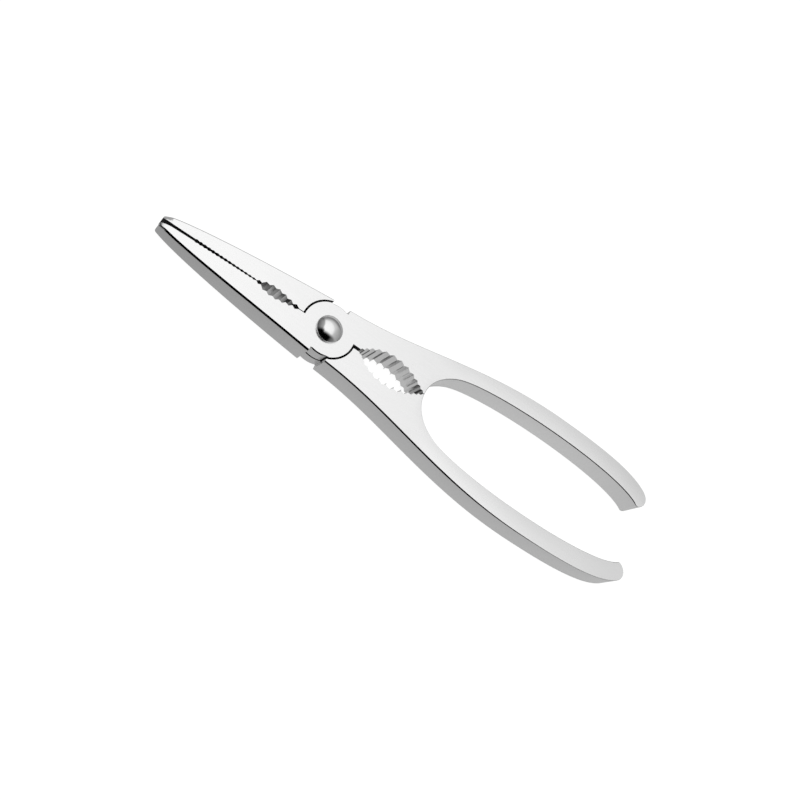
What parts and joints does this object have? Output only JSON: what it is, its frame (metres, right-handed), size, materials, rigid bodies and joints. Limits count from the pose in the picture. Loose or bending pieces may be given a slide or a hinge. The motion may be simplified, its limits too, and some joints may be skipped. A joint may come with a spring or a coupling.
{
  "type": "lobster cracker",
  "caption": "Plier-type steel lobster cracker: tapered serrated jaws, half-lap joint on a domed rivet, scalloped cracking hollow and curved grips.",
  "frame": {"origin": "on the pivot axis, at the tool's rear face, where the rivet's tail is set flush", "axes": "+X along the tool from the pivot to the grips, +Z out of the front face where the domed rivet head is, +Y to the front arm's grip"},
  "size_m": [0.2002, 0.0484, 0.0124],
  "materials": {
    "satin_steel": "satin faces, brushed sides",
    "polished_steel": "polished"
  },
  "bodies": {
    "rear_arm_and_rivet": {"rear_arm": "satin_steel", "pivot_rivet": "polished_steel"},
    "front_arm": {"front_arm": "satin_steel"}
  },
  "joints": [
    {"name": "arm_pivot", "type": "hinge", "parent": "rear_arm_and_rivet", "child": "front_arm", "pos_m": [0, 0, 0.0048], "axis": [0, 0, 1], "range_deg": [0, 32]}
  ]
}
